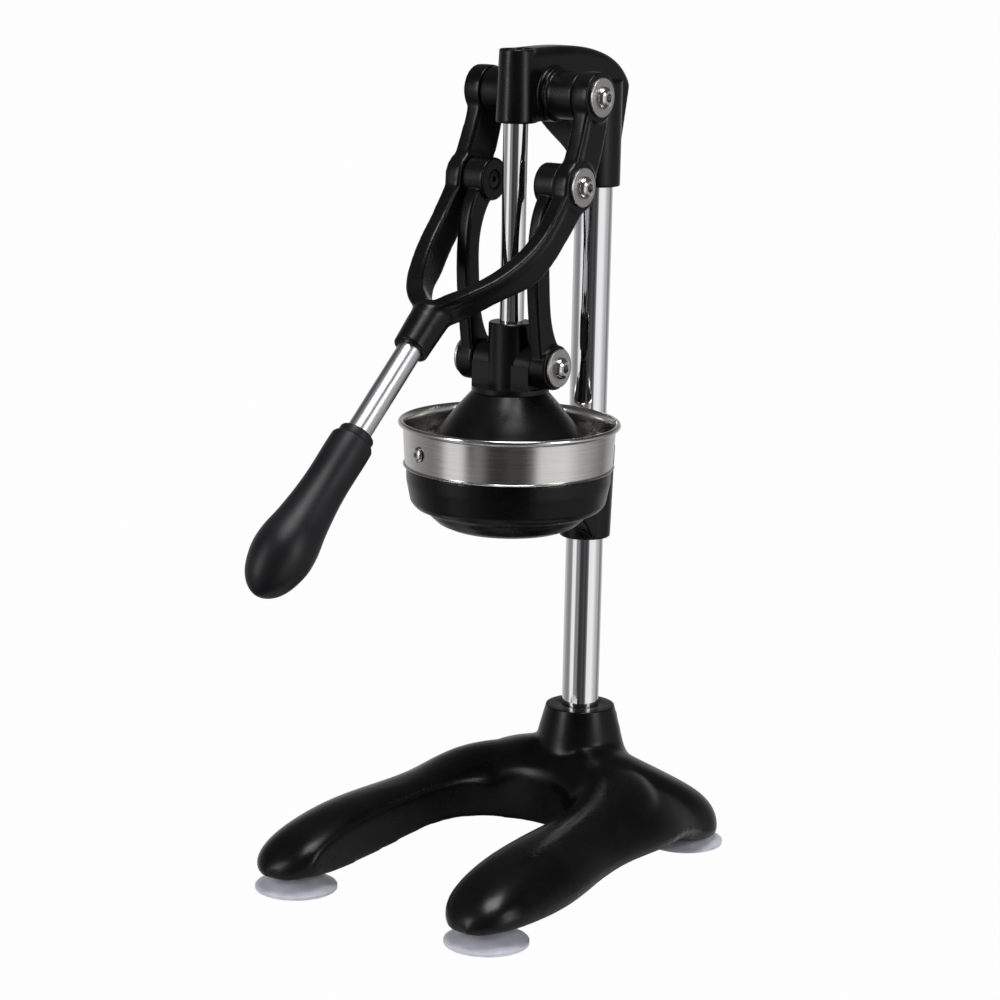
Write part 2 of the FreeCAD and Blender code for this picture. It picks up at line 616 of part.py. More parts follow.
grip_shape = [(0.0, 9.8), (0.012, 10.4), (0.10, 10.5), (0.24, 10.4), (0.36, 10.8), (0.48, 11.8),
              (0.57, 12.9), (0.64, 14.0), (0.70, 14.5), (0.76, 14.4), (0.83, 13.2), (0.90, 11.0),
              (0.955, 7.6), (1.0, 0.0)]
grip_curve = Part.BSplineCurve()
grip_curve.interpolate([v(0, -s * grip_length, r) for s, r in grip_shape[1:]])
start_r = grip_shape[0][1]
grip_edges = [Part.makeLine(v(0, 0, 0), v(0, 0, start_r)),
              Part.makeLine(v(0, 0, start_r), v(0, -grip_shape[1][0] * grip_length, grip_shape[1][1])),
              grip_curve.toShape(), Part.makeLine(v(0, -grip_length, 0), v(0, 0, 0))]
grip = Part.Face(Part.Wire(grip_edges)).revolve(v(0, 0, 0), Y, 360)
grip = grip.cut(rod(tube_r + tube_fit, v(0, 1, 0), Y.negative(), tube_in_grip + 1))
grip.translate(v(0, ring_start - grip_ring_t, 0))
grip = on_lever(grip)

# Holder, bowl, strainer.
def below(drop):
    """Height of a point that lies so far below the bowl's seat."""
    return bowl_seat_z - drop


holder_in_r = holder_r - holder_wall
dish = turned([
    (holder_r, bowl_seat_z), (holder_r - 0.2, below(7.0)), (holder_low_r, below(17.5)),
    (holder_low_r - 2.2, below(20.2)), (holder_low_r - 7.6, below(22.0)), (holder_low_r - 9.8, below(24.8)),
    (holder_low_r - 13.6, below(28.2)), (holder_low_r - 18.6, below(30.4)), (holder_hole_r, holder_floor_z),
    (holder_hole_r, holder_floor_z + 6.8), (holder_low_r - 18.2, below(22.6)),
    (holder_in_r - 3.8, below(17.0)), (holder_in_r, below(13.5)), (holder_in_r, bowl_seat_z),
])
arm_low_z = holder_sleeve_low_z + 2.5
arm_side = Part.makePolygon([
    v(0, holder_r - 6.5, below(2.0)), v(0, post_y, below(2.0)), v(0, post_y, arm_low_z),
    v(0, post_y - 9.0, arm_low_z), v(0, holder_r - 3.5, below(31.0)), v(0, holder_r - 12.5, below(24.5)),
    v(0, holder_r - 12.5, below(20.0)), v(0, holder_r - 6.5, below(17.0)),
    v(0, holder_r - 6.5, below(2.0))])
holder_arm = side_plate(arm_side.Edges, -11.5, 11.5)
holder_arm = holder_arm.cut(rod(holder_in_r, v(0, 0, below(16.0)), Z, 40))
holder_sleeve = Part.makeCone(sleeve_r, sleeve_r + 1.4, holder_sleeve_top_z - holder_sleeve_low_z,
                              v(0, post_y, holder_sleeve_low_z))
cup_holder = fuse_all([dish, holder_arm, holder_sleeve])
holder_screw_z = holder_sleeve_low_z + 20
cup_holder = cup_holder.cut([rod(post_r + post_fit, v(0, post_y, holder_sleeve_low_z - 20), Z, 120),
                             rod(bowl_band_r + 0.6, v(0, 0, bowl_seat_z), Z, 30),
                             rod(2.52, v(0, post_y + post_r, holder_screw_z), Y, 30)])
holder_lock_screw = grub_screw(2.5, sleeve_r - post_r - 0.4, v(0, post_y + post_r, holder_screw_z), Y)

# The bowl is a rolled band on a flanged pan, with a short spout under the pan.
ledge_z = bowl_seat_z + sheet
band_top_z = bowl_top_z - 3.6
juice_bowl = turned([
    (bowl_foot_r, ledge_z), (bowl_band_r, band_top_z), (bowl_rim_r - 0.6, bowl_top_z - 2.6),
    (bowl_rim_r, bowl_top_z - 1.4), (bowl_rim_r - 0.4, bowl_top_z - 0.4), (bowl_rim_r - 1.4, bowl_top_z),
    (bowl_band_r - sheet + 0.4, bowl_top_z - 1.4), (bowl_band_r - sheet, band_top_z),
    (bowl_foot_r - sheet, ledge_z),
])
bowl_in_r = holder_in_r - 0.4
spout_top_z = below(23.6)
bowl_pan = turned([
    (bowl_foot_r + 0.5, bowl_seat_z), (bowl_foot_r + 0.9, bowl_seat_z + 0.3),
    (bowl_foot_r + 0.9, ledge_z - 0.3),
    (bowl_foot_r + 0.5, ledge_z), (bowl_in_r - sheet, ledge_z), (bowl_in_r - sheet, below(12.8)),
    (holder_in_r - 5.0, below(15.6)), (holder_low_r - 18.4, below(21.0)), (spout_r - sheet, spout_top_z),
    (spout_r - sheet, spout_top_z - sheet), (holder_low_r - 18.2, below(22.0)),
    (holder_in_r - 4.2, below(16.5)), (bowl_in_r, below(13.0)), (bowl_in_r, bowl_seat_z),
])
bowl_spout = turned([(spout_r, spout_top_z - sheet), (spout_r, holder_floor_z - 0.6),
                     (spout_r - sheet, holder_floor_z - 0.6), (spout_r - sheet, spout_top_z - sheet)])


def band_radius(z):
    share = (z - ledge_z) / (band_top_z - ledge_z)
    return bowl_foot_r + share * (bowl_band_r - bowl_foot_r)


stud_turn = math.radians(bowl_stud_angle)
stud_dir = v(math.cos(stud_turn), math.sin(stud_turn), 0)
band_by_stud = [band_radius(bowl_stud_z + bowl_stud_r), band_radius(bowl_stud_z - bowl_stud_r)]
stud_seat_r = max(band_by_stud) + 0.05
stud_tip_r = min(band_by_stud) - sheet - 0.7
stud_out = App.Vector(stud_dir).multiply(stud_seat_r)
stud_out.z = bowl_stud_z
stud_in = App.Vector(stud_dir).multiply(stud_tip_r - 2)
stud_in.z = bowl_stud_z
juice_bowl = juice_bowl.cut(rod(1.52, stud_in, stud_dir, 8))
bowl_stud = button_bolt(1.5, stud_seat_r - stud_tip_r, stud_out, stud_dir, bowl_stud_r, 1.6, 2.4)

dome_height = dome_top_z - strainer_floor_z
dome_shares = [(1.0, 0.0), (0.953, 0.173), (0.853, 0.413), (0.687, 0.664), (0.453, 0.877),
               (0.2, 0.979), (0.0, 1.0)]


def dome_line(foot_r, foot_z, height):
    return [(share_out * foot_r, foot_z + share_up * height) for share_out, share_up in dome_shares]


dome_skin = dome_line(dome_r, strainer_floor_z, dome_height)
dome_inside = dome_line(dome_r - sheet, strainer_floor_z - sheet, dome_height)
strainer = turned([(strainer_rim_r, ledge_z), (strainer_rim_r, ledge_z + sheet),
                   (strainer_rim_r - 4.8, ledge_z + sheet), (strainer_rim_r - 5.4, ledge_z),
                   (strainer_rim_r - 6.9, strainer_floor_z)] + dome_skin + dome_inside[::-1]
                  + [(strainer_rim_r - 6.0, strainer_floor_z - sheet), (strainer_rim_r - 4.5, ledge_z)])
rib_skin = dome_line(dome_r + 1.2, strainer_floor_z - 0.3, dome_height + 1.5)
rib_zone = turned(rib_skin + [(0, dome_top_z - 10.0), (0.6 * dome_r, strainer_floor_z + 0.44 * dome_height),
                              (0.867 * dome_r, strainer_floor_z + 0.173 * dome_height),
                              (dome_r - 0.8, strainer_floor_z - 0.3)])
fins = []
drain_slots = []
slot_start = dome_r + 3.2
slot_length = strainer_rim_r - 8.7 - slot_start
for i in range(10):
    fin = Part.makeBox(dome_r + 4, 1.8, dome_height + 12, v(0, -0.9, strainer_floor_z - 6))
    fin.rotate(v(0, 0, 0), Z, 36 * i)
    fins.append(fin.common(rib_zone))
for i in range(24):
    slot = Part.makeBox(slot_length, 1.8, 6, v(slot_start, -0.9, strainer_floor_z - 4))
    slot.rotate(v(0, 0, 0), Z, 15 * i + 7.5)
    drain_slots.append(slot)
strainer = fuse_all([strainer] + fins).cut(drain_slots)

# Write the parts.
parts = {
    "base": base,
    "foot_screws": foot_screws,
    "post": post,
    "base_clamp_bolt": base_clamp_bolt,
    "head": head,
    "head_lock_screw": head_lock_screw,
    "guide_bush": guide_bush,
    "pivot_bolts": pivot_bolts,
    "pivot_washers": pivot_washers,
    "cup_holder": cup_holder,
    "holder_lock_screw": holder_lock_screw,
    "juice_bowl": juice_bowl,
    "bowl_pan": bowl_pan,
    "bowl_spout": bowl_spout,
    "bowl_stud": bowl_stud,
    "strainer": strainer,
    "ram_rod": ram_rod,
    "press_cup": press_cup,
    "ram_lock_screw": ram_lock_screw,
    "press_bolts": press_bolts,
    "press_washers": press_washers,
    "link_left": link_left,
    "link_right": link_right,
    "yoke": yoke,
    "link_bolts": link_bolts,
    "link_washers": link_washers,
    "lever_tube": lever_tube,
    "tube_lock_screw": tube_lock_screw,
    "grip_ring": grip_ring,
    "grip": grip,
}
for name, shape in suction_feet.items():
    parts["suction_foot_" + name] = shape

outline = Part.makeCompound(list(parts.values())).BoundBox
to_origin = v(0, -(outline.YMin + outline.YMax) / 2, 0)
for name, shape in parts.items():
    placed = shape.copy()
    placed.translate(to_origin)
    placed.exportStep("parts/" + name + ".step")
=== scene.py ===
import json
import math

import bmesh
import bpy
from mathutils import Matrix, Vector


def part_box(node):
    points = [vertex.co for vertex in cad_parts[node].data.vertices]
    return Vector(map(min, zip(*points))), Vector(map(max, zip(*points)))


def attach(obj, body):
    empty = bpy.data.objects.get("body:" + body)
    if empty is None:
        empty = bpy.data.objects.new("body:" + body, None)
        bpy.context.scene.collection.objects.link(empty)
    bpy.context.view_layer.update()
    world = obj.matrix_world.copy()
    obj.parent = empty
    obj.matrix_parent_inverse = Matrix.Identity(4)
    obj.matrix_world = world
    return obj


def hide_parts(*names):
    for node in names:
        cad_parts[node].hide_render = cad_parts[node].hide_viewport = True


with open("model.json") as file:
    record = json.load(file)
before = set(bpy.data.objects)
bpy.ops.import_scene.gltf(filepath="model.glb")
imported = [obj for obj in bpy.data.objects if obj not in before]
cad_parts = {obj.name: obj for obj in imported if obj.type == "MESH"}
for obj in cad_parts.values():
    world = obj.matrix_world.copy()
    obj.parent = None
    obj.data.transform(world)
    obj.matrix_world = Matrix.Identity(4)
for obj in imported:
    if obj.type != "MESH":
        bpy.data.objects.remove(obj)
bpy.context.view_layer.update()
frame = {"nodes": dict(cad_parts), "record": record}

MM = 0.001
nodes = frame["nodes"]
for piece in nodes.values():
    piece.data.materials.clear()
for plain in list(bpy.data.materials):
    bpy.data.materials.remove(plain)


def middle_of(node):
    """The middle of the node's box at rest."""
    low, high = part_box(node)
    return (low + high) / 2


ROD_Y = middle_of("ram_rod").y
POST_Y = middle_of("post").y


# Node helpers. Every pattern reads Object coordinates, which are metres in the part's own frame.
def put(tree, kind, **values):
    """A new node. Each value is the node's own setting or the socket of that name."""
    node = tree.nodes.new(kind)
    for name, value in values.items():
        if hasattr(node, name):
            setattr(node, name, value)
        else:
            node.inputs[name.replace("_", " ")].default_value = value
    return node


def link(tree, source, target):
    tree.links.new(source, target)


def object_place(tree):
    return put(tree, "ShaderNodeTexCoord").outputs["Object"]


def maths(tree, operation, a, b=None):
    node = put(tree, "ShaderNodeMath", operation=operation)
    for socket, value in zip(node.inputs, (a, b)):
        if value is None:
            continue
        if isinstance(value, (int, float)):
            socket.default_value = value
        else:
            link(tree, value, socket)
    return node.outputs[0]


def effect_group(name, inputs, outputs):
    tree = bpy.data.node_groups.new(name, "ShaderNodeTree")
    for socket, kind, value in inputs:
        made = tree.interface.new_socket(socket, in_out="INPUT", socket_type=kind)
        if value is not None:
            made.default_value = value
    for socket, kind in outputs:
        tree.interface.new_socket(socket, in_out="OUTPUT", socket_type=kind)
    return tree, put(tree, "NodeGroupInput"), put(tree, "NodeGroupOutput")


EFFECT_OUTPUTS = [("Normal", "NodeSocketVector"), ("Roughness", "NodeSocketFloat"),
                  ("Mask", "NodeSocketFloat")]


def end_effect(tree, given, out, height, relief, mask, mask_low, mask_high):
    """Ends a shared effect: bump from the height, and gloss from the spread of the mask."""
    bump = put(tree, "ShaderNodeBump", Distance=relief)
    link(tree, given.outputs["Depth"], bump.inputs["Strength"])
    link(tree, height, bump.inputs["Height"])
    spread = put(tree, "ShaderNodeMapRange", From_Min=mask_low, From_Max=mask_high)
    link(tree, mask, spread.inputs["Value"])
    link(tree, given.outputs["Gloss low"], spread.inputs["To Min"])
    link(tree, given.outputs["Gloss high"], spread.inputs["To Max"])
    link(tree, bump.outputs[0], out.inputs["Normal"])
    link(tree, spread.outputs[0], out.inputs["Roughness"])
    link(tree, mask, out.inputs["Mask"])


def make_coat_skin():
    """Powder coat: fine orange peel and uneven gloss."""
    tree, given, out = effect_group(
        "coat_skin",
        [("Peel size", "NodeSocketFloat", 1100.0), ("Depth", "NodeSocketFloat", 0.1),
         ("Gloss low", "NodeSocketFloat", 0.3), ("Gloss high", "NodeSocketFloat", 0.4)], EFFECT_OUTPUTS)
    place = object_place(tree)
    peel = put(tree, "ShaderNodeTexNoise", Detail=3.0, Roughness=0.55)
    link(tree, place, peel.inputs["Vector"])
    link(tree, given.outputs["Peel size"], peel.inputs["Scale"])
    patch = put(tree, "ShaderNodeTexNoise", Scale=45.0, Detail=4.0, Roughness=0.6)
    link(tree, place, patch.inputs["Vector"])
    end_effect(tree, given, out, peel.outputs[0], 0.2 * MM, patch.outputs[0], 0.35, 0.65)
    return tree


def make_grain():
    """Brushed metal: long scratches along the first axis of the vector that it is given."""
    tree, given, out = effect_group(
        "metal_grain",
        [("Vector", "NodeSocketVector", None), ("Depth", "NodeSocketFloat", 0.1),
         ("Gloss low", "NodeSocketFloat", 0.2), ("Gloss high", "NodeSocketFloat", 0.35)], EFFECT_OUTPUTS)
    streak = put(tree, "ShaderNodeTexNoise", Scale=1.0, Detail=5.0, Roughness=0.65)
    link(tree, given.outputs["Vector"], streak.inputs["Vector"])
    end_effect(tree, given, out, streak.outputs[0], 0.05 * MM, streak.outputs[0], 0.3, 0.7)
    return tree


COAT_SKIN = make_coat_skin()
GRAIN = make_grain()
MATERIALS = {}


def new_finish(name, colour, roughness, metallic=0.0, **sockets):
    """A material of the record's slot of that name, and its tree and shader."""
    material = bpy.data.materials.new(name)
    material.use_nodes = True
    MATERIALS[name] = material
    tree = material.node_tree
    shader = tree.nodes["Principled BSDF"]
    shader.inputs["Base Color"].default_value = (*colour, 1.0)
    shader.inputs["Roughness"].default_value = roughness
    shader.inputs["Metallic"].default_value = metallic
    for socket, value in sockets.items():
        shader.inputs[socket.replace("_", " ")].default_value = value
    return tree, shader


def tinted(tree, mask, dark, pale, shader):
    """Base colour between two tones by a mask."""
    ramp = put(tree, "ShaderNodeValToRGB")
    for element, position, tone in zip(ramp.color_ramp.elements, (0.35, 0.65), (dark, pale)):
        element.position = position
        element.color = (*tone, 1.0)
    link(tree, mask, ramp.inputs[0])
    link(tree, ramp.outputs[0], shader.inputs["Base Color"])


def surfaced(tree, shader, effect, dark, pale, **settings):
    """Puts a shared effect on the shader, which is tinted between two tones by its mask."""
    skin = put(tree, "ShaderNodeGroup", node_tree=effect, **settings)
    link(tree, skin.outputs["Normal"], shader.inputs["Normal"])
    link(tree, skin.outputs["Roughness"], shader.inputs["Roughness"])
    tinted(tree, skin.outputs["Mask"], dark, pale, shader)
    return skin


def coated(name, dark, pale, peel_size, peel_depth, gloss, specular=0.5):
    """Painted or moulded finish. gloss is the lowest and highest roughness."""
    tree, shader = new_finish(name, dark, gloss[0], Specular_IOR_Level=specular)
    surfaced(tree, shader, COAT_SKIN, dark, pale, Peel_size=peel_size, Depth=peel_depth,
             Gloss_low=gloss[0], Gloss_high=gloss[1])


def brushed(name, dark, pale, scratches, depth, gloss):
    """Bare metal. scratches takes the tree and gives the vector that runs along the scratches."""
    tree, shader = new_finish(name, pale, gloss[0], metallic=1.0)
    grain = surfaced(tree, shader, GRAIN, dark, pale, Depth=depth,
                     Gloss_low=gloss[0], Gloss_high=gloss[1])
    link(tree, scratches(tree), grain.inputs["Vector"])


def round_axis(centre_y, along, across):
    """Scratches that run round a vertical axis at x = 0."""
    def vector(tree):
        place = put(tree, "ShaderNodeSeparateXYZ")
        link(tree, object_place(tree), place.inputs[0])
        x, y, z = place.outputs
        y = maths(tree, "SUBTRACT", y, centre_y)
        turn = maths(tree, "ARCTAN2", y, x)
        reach = maths(tree, "SQRT", maths(tree, "ADD", maths(tree, "MULTIPLY", x, x),
                                          maths(tree, "MULTIPLY", y, y)))
        joined = put(tree, "ShaderNodeCombineXYZ")
        link(tree, maths(tree, "MULTIPLY", turn, along), joined.inputs[0])
        link(tree, maths(tree, "MULTIPLY", reach, across), joined.inputs[1])
        link(tree, maths(tree, "MULTIPLY", z, across), joined.inputs[2])
        return joined.outputs[0]
    return vector


def straight(turn, along, across):
    """Scratches along a straight line: turn is the line's tilt about X from +Y."""
    def vector(tree):
        mapping = put(tree, "ShaderNodeMapping", vector_type="TEXTURE")
        mapping.inputs["Rotation"].default_value = (turn, 0.0, 0.0)
        mapping.inputs["Scale"].default_value = (1 / across, 1 / along, 1 / across)
        link(tree, object_place(tree), mapping.inputs[0])
        return mapping.outputs[0]
    return vector


LEVEL, UPRIGHT, LEVER_SLOPE = 0.0, math.pi / 2, math.radians(42.0)

# Black coats and plastics
coated("black_casting", dark=(0.0025, 0.0025, 0.0029), pale=(0.0045, 0.0045, 0.005),
       peel_size=1300.0, peel_depth=0.07, gloss=(0.24, 0.32), specular=0.20)
coated("satin_black", dark=(0.0028, 0.0028, 0.0033), pale=(0.005, 0.005, 0.0058),
       peel_size=2600.0, peel_depth=0.04, gloss=(0.26, 0.33), specular=0.22)
coated("grip_black", dark=(0.006, 0.006, 0.0075), pale=(0.009, 0.009, 0.011),
       peel_size=2200.0, peel_depth=0.10, gloss=(0.38, 0.46), specular=0.24)
coated("bush_polymer", dark=(0.62, 0.62, 0.59), pale=(0.70, 0.70, 0.67),
       peel_size=1500.0, peel_depth=0.05, gloss=(0.40, 0.50))

# Chrome
brushed("chrome_tube", dark=(0.76, 0.76, 0.78), pale=(0.80, 0.80, 0.82),
        scratches=straight(UPRIGHT, 4.0, 900.0), depth=0.01, gloss=(0.04, 0.07))
brushed("chrome_rod", dark=(0.78, 0.78, 0.80), pale=(0.82, 0.82, 0.84),
        scratches=straight(UPRIGHT, 4.0, 900.0), depth=0.01, gloss=(0.04, 0.07))

# Steel
brushed("lever_steel", dark=(0.50, 0.50, 0.51), pale=(0.62, 0.62, 0.63),
        scratches=straight(LEVER_SLOPE, 10.0, 3000.0), depth=0.20, gloss=(0.26, 0.38))
brushed("bowl_steel", dark=(0.56, 0.545, 0.525), pale=(0.64, 0.625, 0.60),
        scratches=round_axis(ROD_Y, 1.5, 1600.0), depth=0.16, gloss=(0.14, 0.24))
brushed("strainer_steel", dark=(0.55, 0.55, 0.55), pale=(0.66, 0.66, 0.66),
        scratches=round_axis(ROD_Y, 1.5, 1600.0), depth=0.12, gloss=(0.16, 0.26))
brushed("bolt_steel", dark=(0.60, 0.59, 0.57), pale=(0.70, 0.69, 0.67),
        scratches=straight(LEVEL, 60.0, 300.0), depth=0.03, gloss=(0.14, 0.20))
brushed("washer_steel", dark=(0.40, 0.39, 0.375), pale=(0.52, 0.51, 0.49),
        scratches=straight(LEVEL, 900.0, 1500.0), depth=0.20, gloss=(0.34, 0.46))
brushed("screw_steel", dark=(0.32, 0.32, 0.33), pale=(0.42, 0.42, 0.43),
        scratches=straight(LEVEL, 900.0, 1500.0), depth=0.15, gloss=(0.30, 0.42))


def make_suction_rubber():
    """Pale cloudy rubber that lets a little light through."""
    tree, shader = new_finish("suction_rubber", (0.66, 0.66, 0.74), 0.30, IOR=1.42,
                              Transmission_Weight=0.25)
    cloud = put(tree, "ShaderNodeTexNoise", Scale=160.0, Detail=3.0, Roughness=0.5)
    link(tree, object_place(tree), cloud.inputs["Vector"])
    tinted(tree, cloud.outputs[0], (0.70, 0.71, 0.80), (0.84, 0.85, 0.93), shader)


make_suction_rubber()

SLOT_OF = {row["node"]: row["material_slot"] for row in frame["record"]["subparts"]}
BODY_OF = {node: body for body, members in frame["record"]["behaviour"]["bodies"].items()
           for node in members}
for node, piece in nodes.items():
    piece.data.materials.append(MATERIALS[SLOT_OF[node]])

# Piece helpers
JOIN_REACH = 0.002 * MM
BROKEN_EDGE_ANGLE = math.radians(38)
CREASE_ANGLE = math.radians(32)


def stand_in(mesh, name, node):
    """A finished piece that replaces a node, in the node's finish and on its body."""
    mesh.materials.clear()
    mesh.materials.append(MATERIALS[SLOT_OF[node]])
    piece = bpy.data.objects.new(name, mesh)
    bpy.context.scene.collection.objects.link(piece)
    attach(piece, BODY_OF[node])
    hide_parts(node)


def edited(mesh, change):
    """The mesh after a change to its corners, edges and faces."""
    shape = bmesh.new()
    shape.from_mesh(mesh)
    change(shape)
    shape.to_mesh(mesh)
    shape.free()
    return mesh


def joined_copy(node):
    """A copy of the node's mesh with its loose corners joined."""
    def join(shape):
        bmesh.ops.remove_doubles(shape, verts=shape.verts, dist=JOIN_REACH)
    return edited(nodes[node].data.copy(), join)


def worked(mesh, steps):
    """The mesh after a list of (modifier kind, settings)."""
    carrier = bpy.data.objects.new("carrier", mesh)
    bpy.context.scene.collection.objects.link(carrier)
    for kind, settings in steps:
        modifier = carrier.modifiers.new(kind.lower(), kind)
        for setting, value in settings.items():
            setattr(modifier, setting, value)
    bpy.context.view_layer.update()
    final = carrier.evaluated_get(bpy.context.evaluated_depsgraph_get())
    made = bpy.data.meshes.new_from_object(final)
    bpy.data.objects.remove(carrier)
    return made


def cast_form(node, grain, rounds):
    """The casting with its corners rounded and its blends run smooth."""
    return worked(joined_copy(node), [
        ("REMESH", {"mode": "VOXEL", "voxel_size": grain, "use_smooth_shade": True}),
        ("SMOOTH", {"factor": 0.5, "iterations": rounds}),
    ])


def eased(node, width):
    """The turned or pressed piece with its sharp edges broken."""
    return worked(joined_copy(node), [
        ("BEVEL", {"width": width, "segments": 2, "limit_method": "ANGLE",
                   "angle_limit": BROKEN_EDGE_ANGLE}),
        ("WEIGHTED_NORMAL", {"keep_sharp": True}),
    ])


def softened(shape, chosen, passes):
    """Runs the chosen part of a casting's skin still smoother."""
    picked = [corner for corner in shape.verts if chosen(corner.co)]
    for _ in range(passes):
        bmesh.ops.smooth_vert(shape, verts=picked, factor=0.5, use_axis_x=True, use_axis_y=True,
                              use_axis_z=True)


def spun(profile, centre_y, turns=160):
    """A closed (radius, height) outline turned about the upright line at x = 0, y = centre_y."""
    def turn(shape):
        ring = [shape.verts.new((radius, 0.0, height)) for radius, height in profile]
        sides = [shape.edges.new((a, b)) for a, b in zip(ring, ring[1:] + ring[:1])]
        bmesh.ops.spin(shape, geom=ring + sides, cent=(0, 0, 0), axis=(0, 0, 1), angle=2 * math.pi,
                       steps=turns, use_merge=True)
        bmesh.ops.translate(shape, verts=shape.verts, vec=(0, centre_y, 0))
        bmesh.ops.recalc_face_normals(shape, faces=shape.faces)
        for face in shape.faces:
            face.smooth = True
        for edge in shape.edges:
            if len(edge.link_faces) == 2 and edge.calc_face_angle() > CREASE_ANGLE:
                edge.smooth = False
    return edited(bpy.data.meshes.new("turned"), turn)


def arc(centre_r, centre_z, reach, start, end, count):
    """Points of a round stretch of a turned outline; the angles are in degrees from outward."""
    points = []
    for i in range(count + 1):
        turn = math.radians(start + (end - start) * i / count)
        points.append((centre_r + reach * math.cos(turn), centre_z + reach * math.sin(turn)))
    return points


# Plain castings: node, grain of the new skin, rounds of smoothing
for node, grain, rounds in (("head", 0.65 * MM, 5), ("link_left", 0.5 * MM, 12),
                            ("link_right", 0.5 * MM, 12), ("cup_holder", 0.75 * MM, 3)):
    stand_in(cast_form(node, grain, rounds), node + "_casting", node)

# Yoke: its arms are rounder than its pivot bosses and its socket's mouth
TOP_PIVOT = middle_of("pivot_bolts")
LINK_PIVOT = middle_of("link_bolts")
YOKE_GRAIN = 0.55 * MM
YOKE_ROUNDS = 8
YOKE_ARM_ROUNDS = 26
YOKE_BOSS_REACH = 12.0 * MM
YOKE_MOUTH_LENGTH = 12.0 * MM


def make_yoke():
    mouth_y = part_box("yoke")[0].y + YOKE_MOUTH_LENGTH

    def on_arm(place):
        from_pivot = min(math.hypot(place.y - pivot.y, place.z - pivot.z)
                         for pivot in (TOP_PIVOT, LINK_PIVOT))
        return from_pivot > YOKE_BOSS_REACH and place.y > mouth_y

    skin = edited(cast_form("yoke", YOKE_GRAIN, YOKE_ROUNDS),
                  lambda shape: softened(shape, on_arm, YOKE_ARM_ROUNDS))
    stand_in(skin, "yoke_casting", "yoke")


make_yoke()

# The closed end of each link's upper bore. Depths are measured from the boss's inner face.
BORE_R = 4.55 * MM
BORE_EDGE = 0.5 * MM
BORE_END_DEPTH = 0.4 * MM
BORE_EDGE_DEPTH = 0.7 * MM
BORE_END_THICKNESS = 2.6 * MM
DIMPLE_R = 1.4 * MM
DIMPLE_FOOT_R = 1.1 * MM
DIMPLE_DEPTH = 1.2 * MM
PIN_HEART_R = 0.02 * MM


def make_bore_end(node, side):
    low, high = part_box(node)
    inner_x = high.x if side < 0 else low.x
    back = -BORE_END_DEPTH - BORE_END_THICKNESS
    dimple = -BORE_END_DEPTH - DIMPLE_DEPTH
    end = spun([(BORE_R, back), (BORE_R, -BORE_EDGE_DEPTH), (BORE_R - BORE_EDGE, -BORE_END_DEPTH),
                (DIMPLE_R, -BORE_END_DEPTH), (DIMPLE_FOOT_R, dimple),
                (PIN_HEART_R, dimple), (PIN_HEART_R, back)], 0.0, 48)
    end.transform(Matrix.Translation((inner_x, LINK_PIVOT.y, LINK_PIVOT.z))
                  @ Matrix.Rotation(-side * math.pi / 2, 4, "Y"))
    stand_in(end, node + "_bore_end", node)


make_bore_end("link_left", -1)
make_bore_end("link_right", 1)

# Base: a smooth skin, and a turned collar round the post that keeps the boss's crisp edge
COLLAR_Z = 70.0 * MM
COLLAR_R = 17.8 * MM
COLLAR_FOOT_R = 24.0 * MM
COLLAR_FOOT_Z = 46.3 * MM
COLLAR_SLOPE = (COLLAR_FOOT_R - COLLAR_R) / (COLLAR_Z - COLLAR_FOOT_Z)
COLLAR_SINK = 0.6 * MM
SKIN_TOP_Z = COLLAR_Z - 13.0 * MM
POST_HOLE_R = 9.52 * MM
BASE_GRAIN = 1.4 * MM
BASE_ROUNDS = 12
BLEND_INNER_R = 14.0 * MM
BLEND_REACH = 38.0 * MM
BLEND_LOW_Z = 30.0 * MM


def boss_foot(spare):
    """Tells whether a place is in the blend between the boss and the base's body."""
    def inside(place):
        from_post = math.hypot(place.x, place.y - POST_Y)
        return (BLEND_INNER_R < from_post < BLEND_REACH + spare
                and BLEND_LOW_Z < place.z < COLLAR_FOOT_Z + spare)
    return inside


def shape_base_skin(shape):
    """Widens the blend in three steps and cuts the skin off, closed, under the collar."""
    for spare, passes in ((0.0, 16), (3.0 * MM, 14), (6.0 * MM, 10)):
        softened(shape, boss_foot(spare), passes)
    everything = shape.verts[:] + shape.edges[:] + shape.faces[:]
    bmesh.ops.bisect_plane(shape, geom=everything, dist=1e-7, plane_co=(0, 0, SKIN_TOP_Z),
                           plane_no=(0, 0, 1), clear_outer=True)
    bmesh.ops.bridge_loops(shape, edges=[edge for edge in shape.edges if edge.is_boundary])


def collar_outline():
    """Up the boss's cone, over its rounded rim and into the post's hole."""
    low_z = COLLAR_Z - 22.5 * MM
    low_r = COLLAR_R + COLLAR_SLOPE * (COLLAR_Z - low_z) - COLLAR_SINK
    cone = [(POST_HOLE_R, low_z), (low_r, low_z),
            (COLLAR_R + COLLAR_SLOPE * (COLLAR_Z - SKIN_TOP_Z), SKIN_TOP_Z),
            (COLLAR_R + 0.1 * MM, COLLAR_Z - 0.7 * MM)]
    rim = arc(COLLAR_R - 0.55 * MM, COLLAR_Z - 0.6 * MM, 0.6 * MM, 10, 90, 4)
    hole_edge = arc(POST_HOLE_R + 0.5 * MM, COLLAR_Z - 0.5 * MM, 0.5 * MM, 90, 180, 3)
    return cone + rim + hole_edge


stand_in(edited(cast_form("base", BASE_GRAIN, BASE_ROUNDS), shape_base_skin), "base_skin", "base")
stand_in(spun(collar_outline(), POST_Y), "base_collar", "base")

